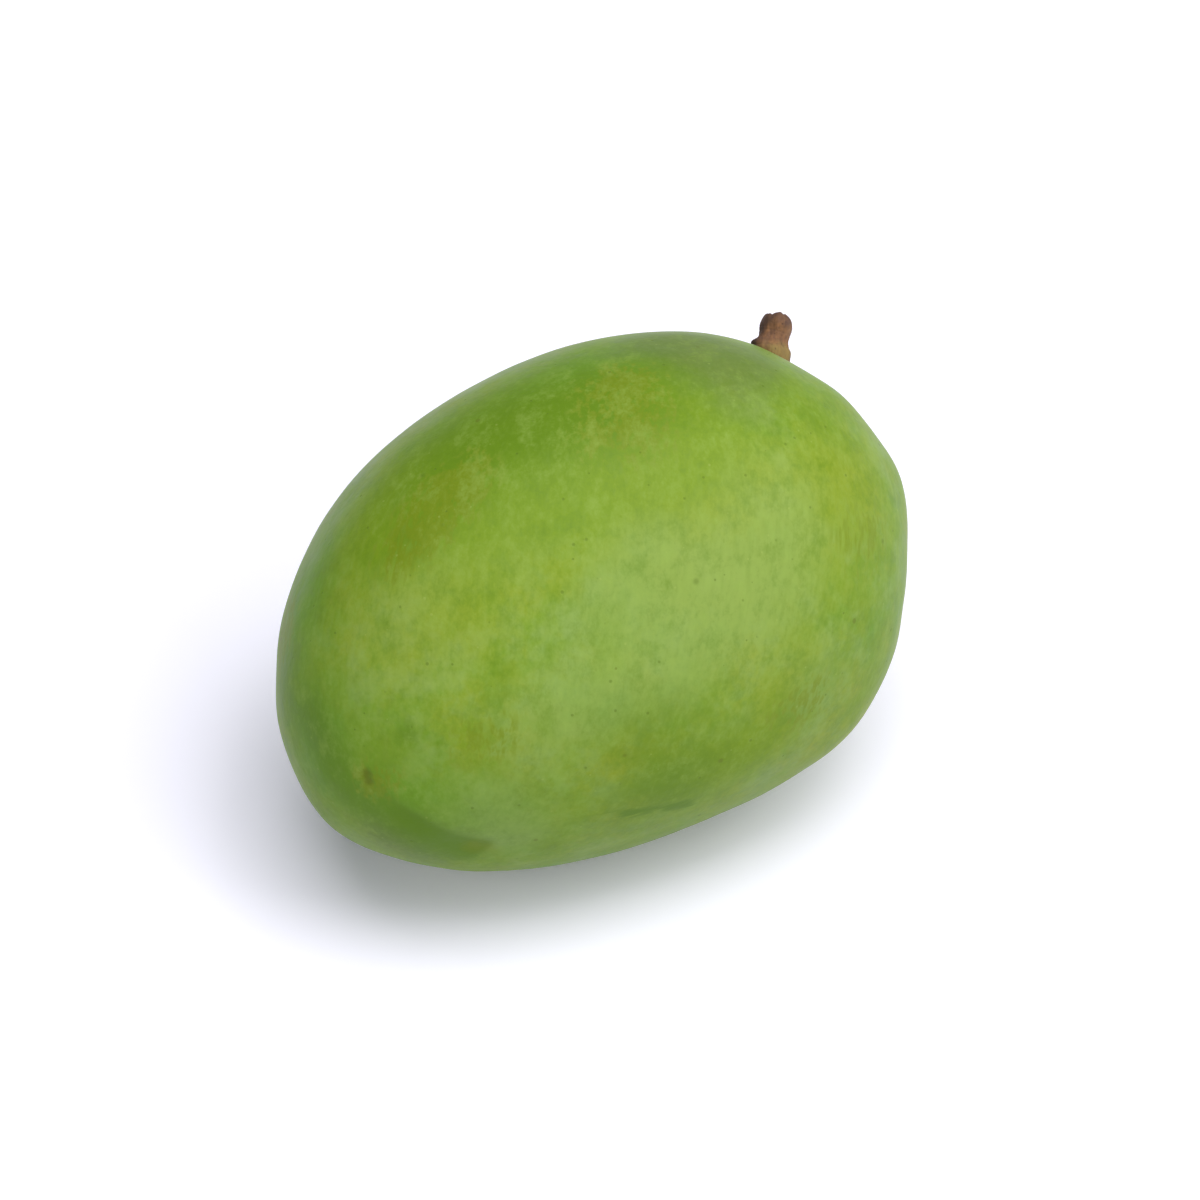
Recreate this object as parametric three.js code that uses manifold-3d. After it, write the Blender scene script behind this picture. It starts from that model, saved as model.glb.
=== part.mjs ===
import * as THREE from 'three';
import { mergeVertices } from 'three/addons/utils/BufferGeometryUtils.js';
import Module from 'manifold-3d';

// A green mango lying on its side, with the broken stub of its stalk. Millimetres, +Z up.
// The origin is the middle of the small flat spot that the fruit rests on. +X points along the fruit
// towards its stem end, +Y towards its back, on which side the stalk grows.
//
// The fruit is first shaped in its own axes: x along its length to the stem end, y from belly to back,
// z from cheek to cheek. It is then rolled about its length and pitched until it lies in balance.
// A place on the fruit is named by two angles seen from its centre: the turn from the stem end (x) towards
// the back (y) in the plane that halves the two cheeks, and the angle aside from that plane.

// Size and form of the body
const HALF_LENGTH = 50;
const HALF_DEPTH = 36.2; // belly to back
const HALF_WIDTH = 31.5; // cheek to cheek
const FULLNESS = 2.14; // power of the rounded form: 2 is a plain ellipsoid, more is fuller
const TAPER = 0.08; // share by which the stem end is stouter than the middle
const BEND = -0.042; // sag of both ends towards the belly, as a share of the half length
const SKEW = 0.07; // lift of the stem end and drop of the tip, as a share of the half length

// Where the stalk grows, in degrees of turn
const STEM_TURN = 36.5;

// Low swellings and dents of the skin: height outwards in mm, and spread in degrees
const RELIEF = [
  { name: 'stem basin', turn: STEM_TURN, aside: 0, height: -0.7, spread: 6 },
  { name: 'slope beside the stem', turn: 26, aside: 12, height: -1.5, spread: 13 },
  { name: 'belly shoulder', turn: 355, aside: 17, height: 0.6, spread: 11 },
  { name: 'flat below the shoulder', turn: 337, aside: 17, height: -1.2, spread: 12 },
  { name: 'belly swelling', turn: 306, aside: 12, height: 0.3, spread: 11 },
  { name: 'beak', turn: 238, aside: 4, height: 0.6, spread: 12 },
  { name: 'sinus beside the beak', turn: 226, aside: 24, height: -0.6, spread: 6 },
];

// Resting pose
const ROLL = 45; // degrees about the length, which lifts the back
const PITCH = 3.2; // degrees, which lifts the stem end
const REST_DEPTH = 0.9; // height taken off the lowest point by the flat spot

// Stalk stub: its radius at each height above its foot, which stands in a shallow seat in the fruit
const SEAT_DEPTH = 1.2; // depth of the foot below the skin
const SEAT_GAP = 0.3; // clearance round and under the foot
const SEAT_MOUTH = 4; // height above the skin to which the seat is cleared
const FOOT_RADIUS = 2.95;
const STUB_HEIGHT = 8.5;
const STUB_PROFILE = [
  [0, FOOT_RADIUS - 0.05],
  [SEAT_DEPTH, FOOT_RADIUS],
  [1.9, 2.75],
  [2.7, 2.35],
  [3.6, 2.15],
  [4.8, 2.12],
  [5.8, 2.25],
  [6.8, 2.4],
  [7.6, 2.25],
  [8.2, 1.6],
];
const STUB_BOW = 0.3; // sideways bow of the stub at its middle
const STUB_KNOBS = 0.08; // share by which its knobs stand out
const STUB_AIM = new THREE.Vector3(0.475, 0.675, 0.564).normalize(); // its direction on the resting fruit

// Fineness of the meshes
const FRUIT_SIDES = 64;
const FRUIT_RINGS = 44;
const STUB_SIDES = 24;
const RING_CROWDING = 1.25; // above 1 the rings stand closer towards the stem
const LEVEL_TOLERANCE = 1e-4; // how near to z = 0 a vertex of the flat spot lies

const Y_AXIS = new THREE.Vector3(0, 1, 0);

const SKIN = new THREE.MeshStandardMaterial({ color: 0x8bab3f, roughness: 0.5, metalness: 0 });
const BARK = new THREE.MeshStandardMaterial({ color: 0x7a553a, roughness: 0.85, metalness: 0 });

const wasm = await Module();
wasm.setup();

// Unit direction from the fruit's centre at the given turn and angle aside, in degrees.
function directionAt(turn, aside) {
  const t = THREE.MathUtils.degToRad(turn);
  const a = THREE.MathUtils.degToRad(aside);
  return new THREE.Vector3(Math.cos(t) * Math.cos(a), Math.sin(t) * Math.cos(a), Math.sin(a));
}

// Point of the skin in a unit direction, in the fruit's own axes: a superellipsoid that is stouter towards
// its stem end, sags at both ends and is skewed along its length, with each low swelling or dent added as
// a bell-shaped bump about its own direction.
function skinPoint(direction) {
  const { x: dx, y: dy, z: dz } = direction;
  const sum = Math.abs(dx) ** FULLNESS + Math.abs(dy) ** FULLNESS + Math.abs(dz) ** FULLNESS;
  const reach = sum ** (-1 / FULLNESS);
  const along = dx * reach;
  const girth = 1 + TAPER * along;
  const lift = HALF_LENGTH * (BEND * along ** 2 + SKEW * along ** 3);
  const point = new THREE.Vector3(
    HALF_LENGTH * along,
    HALF_DEPTH * dy * reach * girth + lift,
    HALF_WIDTH * dz * reach * girth,
  );
  for (const { turn, aside, height, spread } of RELIEF) {
    const nearness = (direction.dot(directionAt(turn, aside)) - 1) / THREE.MathUtils.degToRad(spread) ** 2;
    point.addScaledVector(direction, height * Math.exp(nearness));
  }
  return point;
}

// Fruit surface in its own axes: a sphere's grid with its pole at the stem, each vertex moved to the skin.
function skinGeometry() {
  const geometry = new THREE.SphereGeometry(1, FRUIT_SIDES, FRUIT_RINGS);
  const toStem = new THREE.Quaternion().setFromUnitVectors(Y_AXIS, directionAt(STEM_TURN, 0));
  const position = geometry.getAttribute('position');
  const spot = new THREE.Vector3();
  for (let i = 0; i < position.count; i += 1) {
    spot.fromBufferAttribute(position, i);
    const polar = Math.acos(THREE.MathUtils.clamp(spot.y, -1, 1));
    const around = Math.atan2(spot.x, spot.z);
    const crowded = Math.PI * (polar / Math.PI) ** RING_CROWDING;
    spot.setFromSphericalCoords(1, crowded, around).applyQuaternion(toStem).normalize();
    spot.copy(skinPoint(spot));
    position.setXYZ(i, spot.x, spot.y, spot.z);
  }
  return geometry;
}

// Stalk stub, standing on its foot at the origin along +Y: the profile turned about the axis, with knobs
// that wind round it and a slight bow, both growing from nothing at the foot.
function stubGeometry() {
  const outline = STUB_PROFILE.map(([height, radius]) => new THREE.Vector2(radius, height));
  const profile = [new THREE.Vector2(0, 0), ...outline, new THREE.Vector2(0, STUB_HEIGHT)];
  const geometry = new THREE.LatheGeometry(profile, STUB_SIDES);
  const position = geometry.getAttribute('position');
  for (let i = 0; i < position.count; i += 1) {
    const height = position.getY(i);
    const angle = Math.atan2(position.getX(i), position.getZ(i));
    const free = THREE.MathUtils.smoothstep(height, SEAT_DEPTH, STUB_HEIGHT / 2);
    const knob = 1 + free * STUB_KNOBS * Math.sin(2 * angle + height);
    const bow = free * STUB_BOW * Math.sin((Math.PI * height) / STUB_HEIGHT);
    position.setXYZ(i, position.getX(i) * knob + bow, height, position.getZ(i) * knob);
  }
  return geometry;
}

// Solid of a closed geometry placed by a matrix.
function solidOf(geometry, matrix) {
  const bare = geometry.clone().applyMatrix4(matrix);
  bare.deleteAttribute('normal');
  bare.deleteAttribute('uv');
  const merged = mergeVertices(bare);
  return new wasm.Manifold(new wasm.Mesh({
    numProp: 3,
    vertProperties: merged.getAttribute('position').array,
    triVerts: new Uint32Array(merged.getIndex().array),
  }));
}

// Geometry of a solid's surface.
function geometryOf(solid) {
  const mesh = solid.getMesh();
  const geometry = new THREE.BufferGeometry();
  geometry.setAttribute('position', new THREE.BufferAttribute(mesh.vertProperties, 3));
  geometry.setIndex(new THREE.BufferAttribute(mesh.triVerts, 1));
  geometry.computeVertexNormals();
  return geometry;
}

// Turn of the fruit from its own axes into its resting pose.
function restingTurn() {
  const roll = new THREE.Matrix4().makeRotationX(THREE.MathUtils.degToRad(ROLL));
  const pitch = new THREE.Matrix4().makeRotationY(THREE.MathUtils.degToRad(-PITCH));
  return pitch.multiply(roll);
}

// Middle of the flat spot, from the vertices that lie in the plane z = 0.
function middleOfFlat(geometry) {
  const position = geometry.getAttribute('position');
  const flat = new THREE.Box3();
  const vertex = new THREE.Vector3();
  for (let i = 0; i < position.count; i += 1) {
    vertex.fromBufferAttribute(position, i);
    if (Math.abs(vertex.z) < LEVEL_TOLERANCE) flat.expandByPoint(vertex);
  }
  return flat.getCenter(new THREE.Vector3());
}

// The fruit in its resting pose, its lowest point taken off by the plane z = 0.
const skin = skinGeometry().applyMatrix4(restingTurn());
skin.computeBoundingBox();
const drop = -skin.boundingBox.min.z - REST_DEPTH;
const body = solidOf(skin, new THREE.Matrix4().makeTranslation(0, 0, drop));

const slab = new THREE.BoxGeometry(4 * HALF_LENGTH, 4 * HALF_DEPTH, HALF_DEPTH);
const underTable = solidOf(slab, new THREE.Matrix4().makeTranslation(0, 0, -HALF_DEPTH / 2));

// The stub's foot, at the bottom of its seat.
const stemBase = skinPoint(directionAt(STEM_TURN, 0)).applyMatrix4(restingTurn());
const foot = stemBase.add(new THREE.Vector3(0, 0, drop)).addScaledVector(STUB_AIM, -SEAT_DEPTH);
const upright = new THREE.Quaternion().setFromUnitVectors(Y_AXIS, STUB_AIM);

const seatHeight = SEAT_GAP + SEAT_DEPTH + SEAT_MOUTH;
const seatRadius = FOOT_RADIUS + SEAT_GAP;
const seatForm = new THREE.CylinderGeometry(seatRadius, seatRadius, seatHeight, STUB_SIDES);
seatForm.translate(0, seatHeight / 2 - SEAT_GAP, 0);
const seat = solidOf(seatForm, new THREE.Matrix4().compose(foot, upright, new THREE.Vector3(1, 1, 1)));

const fruit = new THREE.Mesh(geometryOf(body.subtract(underTable).subtract(seat)), SKIN);
fruit.name = 'mango_fruit';

const stub = new THREE.Mesh(stubGeometry(), BARK);
stub.name = 'stem_stub';
stub.position.copy(foot);
stub.quaternion.copy(upright);

const mango = new THREE.Group();
mango.add(fruit, stub);
mango.position.copy(middleOfFlat(fruit.geometry)).negate();

export default mango;
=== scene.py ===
"""A green mango lying on its side, with the broken stub of its stalk, on a pale floor in soft light.

The file is laid out as an add-on and is run as a script. Blender's units are metres; the tables below give
lengths in millimetres and angles in degrees where their headings say so.

The fruit is worked out in its own axes: x along its length to the stem end, y from belly to back, z from cheek
to cheek. A place on it is named by two angles seen from its centre: the turn from the stem end (x) towards the
back (y), and the angle aside from the plane that halves the two cheeks.
"""

from math import cos, pi, radians, sin

import bpy
import numpy as np
from bpy.props import FloatProperty, FloatVectorProperty, IntProperty, PointerProperty
from bpy.types import Operator, Panel, PropertyGroup
from mathutils import Euler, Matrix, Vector


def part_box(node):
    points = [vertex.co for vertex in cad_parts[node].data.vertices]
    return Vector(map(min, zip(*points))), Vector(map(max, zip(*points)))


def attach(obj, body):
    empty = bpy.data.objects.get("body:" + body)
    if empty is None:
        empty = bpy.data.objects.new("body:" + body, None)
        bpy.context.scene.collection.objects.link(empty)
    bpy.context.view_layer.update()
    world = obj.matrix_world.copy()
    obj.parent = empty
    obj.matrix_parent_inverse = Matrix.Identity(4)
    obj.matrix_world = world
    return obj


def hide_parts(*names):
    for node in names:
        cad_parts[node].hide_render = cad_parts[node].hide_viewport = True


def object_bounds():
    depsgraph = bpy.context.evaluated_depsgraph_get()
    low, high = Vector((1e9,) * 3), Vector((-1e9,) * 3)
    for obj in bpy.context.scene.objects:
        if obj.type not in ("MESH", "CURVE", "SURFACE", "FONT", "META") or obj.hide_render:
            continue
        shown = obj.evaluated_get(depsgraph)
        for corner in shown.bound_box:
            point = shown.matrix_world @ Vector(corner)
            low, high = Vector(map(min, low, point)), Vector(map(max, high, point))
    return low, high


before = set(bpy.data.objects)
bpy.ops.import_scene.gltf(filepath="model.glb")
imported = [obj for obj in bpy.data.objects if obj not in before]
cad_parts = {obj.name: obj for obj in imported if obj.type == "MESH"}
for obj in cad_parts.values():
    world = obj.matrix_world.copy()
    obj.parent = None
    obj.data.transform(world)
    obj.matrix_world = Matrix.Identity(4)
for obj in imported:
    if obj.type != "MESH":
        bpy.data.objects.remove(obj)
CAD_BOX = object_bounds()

bl_info = {
    "name": "Green mango",
    "version": (1, 0, 0),
    "blender": (4, 5, 0),
    "location": "3D View > Sidebar > Mango",
    "description": "Builds a green mango with the stub of its stalk, and a small studio round it",
    "category": "Add Mesh",
}

MM = 0.001
FRUIT_NODE = "mango_fruit"
STUB_NODE = "stem_stub"

# Low swellings and dents of the fruit: turn, aside, height outwards in mm, spread in degrees.
RELIEF = [
    ("stem basin", 36.5, 0, -0.7, 6),
    ("slope beside the stem", 26, 12, -1.5, 13),
    ("belly shoulder", 355, 17, 0.6, 11),
    ("flat below the shoulder", 337, 17, -1.2, 12),
    ("belly swelling", 306, 12, 0.3, 11),
    ("beak", 238, 4, 0.6, 12),
    ("sinus beside the beak", 226, 24, -0.6, 6),
]

# Soft dimples and low swellings, which the solid leaves out, in the same terms.
SOFT_RELIEF = [
    ("upper cheek", 118, 44, -0.16, 5),
    ("middle of the cheek", 40, 66, -0.12, 6),
    ("over the belly", 300, 40, -0.14, 5),
    ("beside the stem", 62, 24, -0.18, 4),
    ("tip", 176, 12, -0.15, 5),
    ("far cheek", 20, -50, -0.16, 6),
    ("far cheek, towards the tip", 160, -42, -0.14, 5),
    ("far side of the back", 95, -28, -0.15, 5),
    ("shoulder below the stalk", 22.5, 20, 0.7, 6.5),
    ("stem end of the belly", 359.5, 18.5, 0.5, 5),
    ("corner of the belly", 301.5, 22, 0.8, 6.5),
    ("tip, below", 202, -1, 0.45, 7),
]

# The line where the beak's underside turns away, from the old scar near the tip to the end of the beak,
# as turn and aside in degrees. Its colour is partly a dark green mark and partly painted shade of the fold
# below the line.
BEAK_LINE = [(196, 29.2), (203, 28.7), (210, 28.2), (215, 27), (220, 25.6), (225, 24.4), (230, 24)]
BEAK_LINE_WIDTH = 1.3  # degrees, on its sharper side
BEAK_LINE_DEPTH = 0.1  # mm
GROOVE_LOWER_SIDE = 2.8  # how many times as wide the groove is on its lower side
COLOUR_LOWER_SIDE = 4.2  # and how many times as wide its colour

# Small marks, as turn, aside and spread in degrees: the end of the beak's line, and the halves of the old scar.
BEAK_END = (227, 23, 2.2)
OLD_SCAR = [(190.8, 29.2, 0.9), (193, 28.6, 0.9)]

# A faint rubbed line low on the belly side, as turn and aside in degrees.
RUBBED_LINE = [(244, 37.2), (250, 36.6), (254.5, 35.3), (258, 34.8), (262.5, 34), (266, 32.7), (270, 31)]
RUBBED_WIDTH = 1.6  # degrees

# Corky skin round the stalk: strength, and the degrees from the stalk where it begins to fade and is gone.
CORK = [(0.35, 7, 14), (0.65, 4.6, 8)]

# Uneven swells of the skin: share of the height, count of waves, their lengths from and to in radii, and seed.
SWELLS = [(1.0, 14, (0.35, 1.1), 11), (0.25, 18, (0.12, 0.3), 12)]

# Rings round the stalk, in degrees from it: middle and spread.
PUCKER_RING = (6.5, 2.6)
COLLAR_RING = (4.3, 0.9)
RING_CROWDING = 1.25  # above 1 the rings of the mesh stand closer towards the stalk
SOLID_MESH = (64, 44)  # sides and rings of the solid fruit's mesh, on which the stub's foot is placed

# Patches of tint: turn, aside, spread in degrees, strength.
TINTS = {
    "olive": [
        ("shoulder of the cheek", 76, 38, 5, 0.8),
        ("upper cheek", 135, 40, 4.5, 0.9),
        ("upper cheek, above", 126, 42, 5, 0.9),
        ("upper cheek, by the back", 118, 40, 5, 0.7),
        ("edge towards the tip", 151, 1, 6, 0.8),
        ("over the middle", 77, 52, 6, 0.8),
        ("lower end of the belly", 298, 46, 5, 0.6),
        ("right of the cheek", 350, 47, 7, 0.4),
        ("beside the old scar", 194, 30, 4, 0.8),
        ("low on the cheek", 205, 52, 5, 0.5),
        ("far cheek", 60, -45, 10, 0.8),
        ("far cheek, low", 200, -55, 9, 0.6),
        ("far side of the belly", 300, -30, 8, 0.7),
        ("near the far tip", 170, -28, 6, 0.6),
    ],
    "yellow": [
        ("over the middle", 66, 65, 8, 0.7),
        ("right of the middle", 10, 74, 15, 1.0),
        ("right end", 5, 46, 10, 0.6),
        ("lower right", 300, 52, 8, 0.4),
        ("left of the cheek", 150, 52, 12, 0.8),
        ("end of the beak's line", 229, 23, 2, 0.8),
        ("far cheek", 340, -40, 14, 0.7),
        ("far back", 110, -50, 12, 0.6),
    ],
    "leaf": [
        # partly painted shade: the first two make the upper cheek and the skin behind the shoulder greener where
        # shade would fall
        ("upper cheek", 110, 38, 12, 0.9),
        ("behind the shoulder", 80, 30, 12, 0.8),
        ("left edge", 145, 12, 10, 0.8),
        ("left of the beak", 176, 20, 9, 1.0),
        ("under the tip", 200, 28, 9, 0.8),
        ("over the beak", 224, 36, 11, 0.7),
        ("far cheek", 130, -35, 14, 0.8),
        ("far belly", 270, -45, 12, 0.6),
    ],
    "bare": [
        # painted shade: the first three make the upper cheek a darker, more saturated green, for the shade and
        # green light of a fruit lying above it
        ("upper cheek", 110, 48, 15, 1.0),
        ("upper cheek by the shoulder", 80, 54, 13, 1.0),
        ("upper left", 124, 32, 10, 0.9),
        ("over the middle", 60, 62, 9, 0.5),
        ("low on the belly", 266, 42, 8, 0.7),
        ("lower right", 283, 45, 7, 0.6),
        ("left of the beak", 186, 34, 7, 0.5),
        ("far cheek", 90, -60, 14, 0.8),
        ("far belly", 300, -55, 12, 0.7),
    ],
    "dull": [
        ("top, beside the stalk", 62, 23, 8, 1.0),
        ("top, nearer the stalk", 50, 30, 7, 0.8),
        ("shoulder by the stalk", 48, 40, 8, 0.5),
        ("under the tip", 208, 17, 6, 0.8),
        ("under the beak", 220, 14, 6, 0.6),
        ("far side of the stalk", 30, -16, 9, 0.8),
        ("far belly", 320, -20, 8, 0.5),
    ],
    "bloom": [
        ("middle of the cheek", 210, 83, 9, 0.5),
        ("above the middle", 88, 81, 5.5, 0.6),
        ("upper left of the middle", 165, 80, 5, 0.4),
        ("lower right of the middle", 326, 82, 6, 0.6),
        ("left of the cheek", 148, 45, 9, 0.5),
        ("right of the middle", 330, 72, 10, 0.9),
        ("below the middle", 262, 69, 7, 0.7),
        ("towards the stem end", 10, 62, 10, 0.6),
        ("round the stalk", 38, 9, 7, 0.7),
        ("over the beak", 224, 38, 8, 0.8),
        ("left of the middle", 215, 62, 8, 0.8),
        ("lower left of the middle", 233, 64, 4, 0.8),
        ("on the beak", 233, 29, 5, 0.8),
        ("lower right", 305, 48, 7, 0.5),
        ("under the beak", 208, 8, 8, 0.8),
        ("far cheek", 150, -62, 14, 0.8),
        ("far belly", 240, -38, 14, 0.7),
        ("far end", 10, -30, 12, 0.6),
    ],
    "deep": [
        # painted shade: the first two darken the upper cheek and the shoulder by the back, where shade would fall
        ("upper cheek by the back", 106, 35, 13, 0.8),
        ("shoulder by the back", 80, 44, 11, 0.8),
        # partly painted shade: these three darken the lower belly, which gets less light, over its own deeper
        # green
        ("below the middle", 252, 62, 7, 0.5),
        ("belly", 262, 50, 9, 0.4),
        ("low on the belly", 260, 35, 9, 0.5),
        ("left of the beak", 172, 20, 5, 0.8),
        ("above the old scar", 188, 42, 2.2, 0.8),
        # painted shade: these five darken the skin along and under the beak's line, where the fold turns away from
        # the light
        ("beside the beak's line", 184, 22, 5, 0.8),
        ("beside the beak's line, lower", 197, 24, 5, 0.8),
        ("under the beak's line", 212, 22, 5, 1.0),
        ("under the beak", 221, 19, 4, 1.0),
        ("under the end of the beak's line", 226, 20, 3, 0.8),
        # painted shade: the left edge darker, where shade from a fruit beside it would fall
        ("left edge", 162, 8, 7, 0.7),
        ("far back", 80, -30, 12, 0.5),
        ("far belly, low", 255, -20, 14, 0.5),
    ],
}

# The stub's outline: radius and height above its foot in mm, from the middle of the foot, up the side, over
# the broken rim and down into the pith.
STUB_OUTLINE = [
    (0, 0), (2.6, 0), (2.7, 1.2), (2.85, 2), (2.88, 2.8), (2.45, 3.6), (2.12, 4.5), (2.2, 5.5),
    (2.45, 6.6), (2.38, 7.4), (2.0, 8.1), (1.5, 8.3), (1.0, 8.05), (0.5, 7.85), (0, 7.8),
]
STUB_TOP = max(height for _, height in STUB_OUTLINE)
STUB_SEAT = 1.2  # mm of the foot that stands below the skin
STUB_AIM = (0.475, 0.675, 0.564)  # where it points on the resting fruit
STUB_BOW = -0.1  # mm
STUB_LEAN = 0.12  # mm
STUB_KNOBS = 0.08  # share of the radius
BRACT_TURN = 4.75  # radians round the stub
BRACT_HEIGHT = 3.8  # mm
# The bark is painted paler, and the head given a painted sheen, on this side, which faces the lamps.
LIT_SIDE_TURN = 1.2  # radians round the stub, where the bark is palest

# Ring scars of the stub: height in mm, depth as a share, half their width in mm, and phase of their waver.
RING_SCARS = [(3.3, 1.0, 0.16, 0.3), (4.1, 0.6, 0.12, 1.9), (5.5, 0.9, 0.15, 3.2), (6.3, 0.5, 0.12, 4.4)]

# Soft boxes: degrees to the right of the camera and degrees above level.
SOFT_BOXES = {"overhead": (0, 90), "right": (90, 55), "front_right": (45, 25), "front_left": (-45, 25)}
FRUIT_MIDDLE = (0.30, 4.14, 33.48)  # mm, the fruit's centre of mass


def linear(screen):
    """A screen colour, 0 to 255 in each channel, as the linear numbers that a shader takes."""
    screen = np.array(screen) / 255
    level = np.where(screen <= 0.04045, screen / 12.92, ((screen + 0.055) / 1.055) ** 2.4)
    return tuple(float(value) for value in level)


def setting(kind, kept, **fixed):
    """A function that declares a setting of one kind. kept turns the default it is given into the one kept."""

    def make(name, description, default, **more):
        return kind(name=name, description=description, default=kept(default), **fixed, **more)

    return make


length = setting(FloatProperty, float, unit="LENGTH", subtype="DISTANCE", precision=5)  # metres
angle = setting(FloatProperty, radians, unit="ROTATION", subtype="ANGLE")  # given in degrees, kept in radians
share = setting(FloatProperty, float, min=0, max=1, subtype="FACTOR")
power = setting(FloatProperty, float, min=0, unit="POWER")  # watts
number = setting(FloatProperty, float)
whole = setting(IntProperty, int)
colour = setting(FloatVectorProperty, linear, min=0, max=1, size=3, subtype="COLOR")  # given as a screen colour


class FruitForm(PropertyGroup):
    """Size and form of the fruit."""

    half_length: length("Half length", "Half the fruit's length", 50 * MM)
    half_depth: length("Half depth", "Half the distance from belly to back", 36.2 * MM)
    half_width: length("Half width", "Half the distance from cheek to cheek", 31.5 * MM)
    fullness: number("Fullness", "Power of the rounded form; 2 is a plain ellipsoid", 2.14, min=2)
    taper: number("Taper", "Share by which the stem end is stouter", 0.08)
    bend: number("Bend", "Sag of both ends, as a share of half the length", -0.042)
    skew: number("Skew", "Lift of the stem end and drop of the tip", 0.07)
    stem_turn: angle("Stem turn", "Where the stalk grows, turned from the long axis towards the back", 36.5)
    roll: angle("Roll", "Roll about the length that lifts the back", 45)
    pitch: angle("Pitch", "Pitch that lifts the stem end", 3.2)
    swell: length("Swell", "Height of the slow, uneven swell of the skin", 0.13 * MM)
    puckers: length("Puckers", "Depth of the puckers round the stalk", 0.16 * MM)
    settle: length("Settle", "Depth over which the skin rounds off into the flat spot it rests on", 0.12 * MM)
    sides: whole("Sides", "Points round each ring of the mesh", 384, min=16)
    rings: whole("Rings", "Rings of the mesh from stalk to tip", 252, min=8)


class SkinFinish(PropertyGroup):
    """Colours and grain of the mango's skin."""

    green: colour("Green", "Main colour of the skin", (120, 149, 44))
    yellow: colour("Yellow green", "Riper, sunlit patches", (142, 156, 45))
    leaf: colour("Leaf green", "Fresh green patches", (97, 142, 33))
    bloom: colour("Bloom", "Patches under a greyish film of wax", (133, 160, 80))
    # Bare green is also laid on the upper cheek as painted shade.
    bare: colour("Bare green", "Patches without wax", (114, 143, 22))
    olive: colour("Olive", "Warm, brownish patches", (112, 131, 18))
    dull: colour("Dull green", "Greyish patches near the stalk and the tip", (100, 120, 58))
    # Deep green is also laid as painted shade on the upper cheek, the left edge, the lower belly and along and
    # under the beak's line.
    deep: colour("Deep green", "Darkest green", (90, 124, 16))
    pale: colour("Pale green", "Flecks where the wax lies thickest", (140, 167, 74))
    pore: colour("Pores", "Small dark dots all over the skin", (84, 108, 26))
    pale_pore: colour("Pale pores", "Small pale dots among them", (154, 172, 84))
    scar: colour("Scars", "Brown flecks and old scars", (90, 100, 12))
    cork: colour("Cork", "Dry ring of skin round the stalk", (146, 138, 88))
    patch: length("Patch size", "Width of the large patches of colour", 26 * MM)
    film: length("Film size", "Width of the patches of thick and thin wax", 10 * MM)
    mottle: length("Mottle size", "Width of the lighter and darker mottling", 4 * MM)
    fleck: length("Fleck size", "Width of the small flecks", 1.8 * MM)
    grain: length("Grain size", "Width of the finest unevenness", 0.7 * MM)
    fibre_turn: angle("Streak turn", "Direction of the fine streaks, as a turn from the stem end", 62)
    pore_gap: length("Pore gap", "Spacing of the pattern of pores", 2.0 * MM)
    pore_size: length("Pore size", "Radius of the largest pores", 0.36 * MM)
    roughness: share("Roughness", "Roughness of the waxy skin", 0.46)


class StubForm(PropertyGroup):
    """Form of the stalk's stub."""

    ridge: length("Ridges", "Height of the ridges of the dry bark", 0.08 * MM)
    scars: length("Scars", "Depth of the ring scars", 0.05 * MM)
    rim: length("Broken rim", "Unevenness of the broken end", 0.28 * MM)
    bract: length("Bract", "How far the dry bract at the foot stands out", 0.85 * MM)
    sides: whole("Sides", "Points round the stub", 160, min=12)
    rings: whole("Rings", "Rings of points along the outline", 150, min=12)


class BarkFinish(PropertyGroup):
    """Colours of the dry stalk."""

    brown: colour("Brown", "Reddish middle of the bark", (142, 100, 66))
    # Dark brown lies on the head's top and the bract, and as painted shade in the creases and down the head's side
    # away from the lamps.
    dark: colour("Dark brown", "Weathered head and creases", (74, 55, 50))
    tan: colour("Tan", "Dry, pale foot", (144, 122, 70))
    # The pith colour also serves as a painted sheen on the head's side towards the lamps.
    pith: colour("Pith", "Broken end and greyish side of the head", (140, 118, 100))
    roughness: share("Roughness", "Roughness of the bark", 0.78)


class Studio(PropertyGroup):
    """Floor, lights and camera."""

    azimuth: angle("Azimuth", "Camera's turn from the front, towards +X", -27.1)
    elevation: angle("Elevation", "Camera's height above level", 45)
    distance: length("Distance", "From the camera to the middle of the fruit", 0.531)
    lens: number("Lens", "Focal length", 108, unit="CAMERA")
    floor_radius: length("Floor radius", "Radius of the round floor", 9.0)
    floor: colour("Floor", "Colour of the floor", (246, 244, 254))
    whiteness: number("Whiteness", "Gain on the floor's colour as seen", 1.19)
    bounce: share("Bounce", "Share of its colour by which the floor lights the object", 0.6)
    backdrop: colour("Backdrop", "Colour of the surroundings, as seen and as mirrored", (255, 255, 255))
    mirrored: number("Mirrored strength", "Strength of the backdrop in reflections", 0.45)
    sky: colour("Surroundings", "Colour of the light from all round", (212, 224, 255))
    sky_strength: number("Surroundings strength", "Strength of that light", 0.12)
    overhead: power("Overhead", "Soft box straight above", 13.2)
    right: power("Right", "Soft box high on the right", 12.2)
    front_right: power("Front right", "Soft box low on the front right", 9.2)
    front_left: power("Front left", "Soft box low on the front left", 5.8)
    box_size: length("Soft box size", "Side of each square soft box", 1.2)
    box_distance: length("Soft box distance", "From each soft box to the object", 1.5)


# ---- shapes


def toward(azimuth, elevation):
    """Unit vector from the object towards a viewer at an azimuth from the front and a height above level."""
    return Vector((sin(azimuth) * cos(elevation), -cos(azimuth) * cos(elevation), sin(elevation)))


def look_back(item, middle, towards, distance):
    """Puts a light or camera at a distance from a middle, towards a direction, facing the middle."""
    item.location = middle + distance * towards
    item.rotation_euler = towards.to_track_quat("Z", "Y").to_euler()


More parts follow.
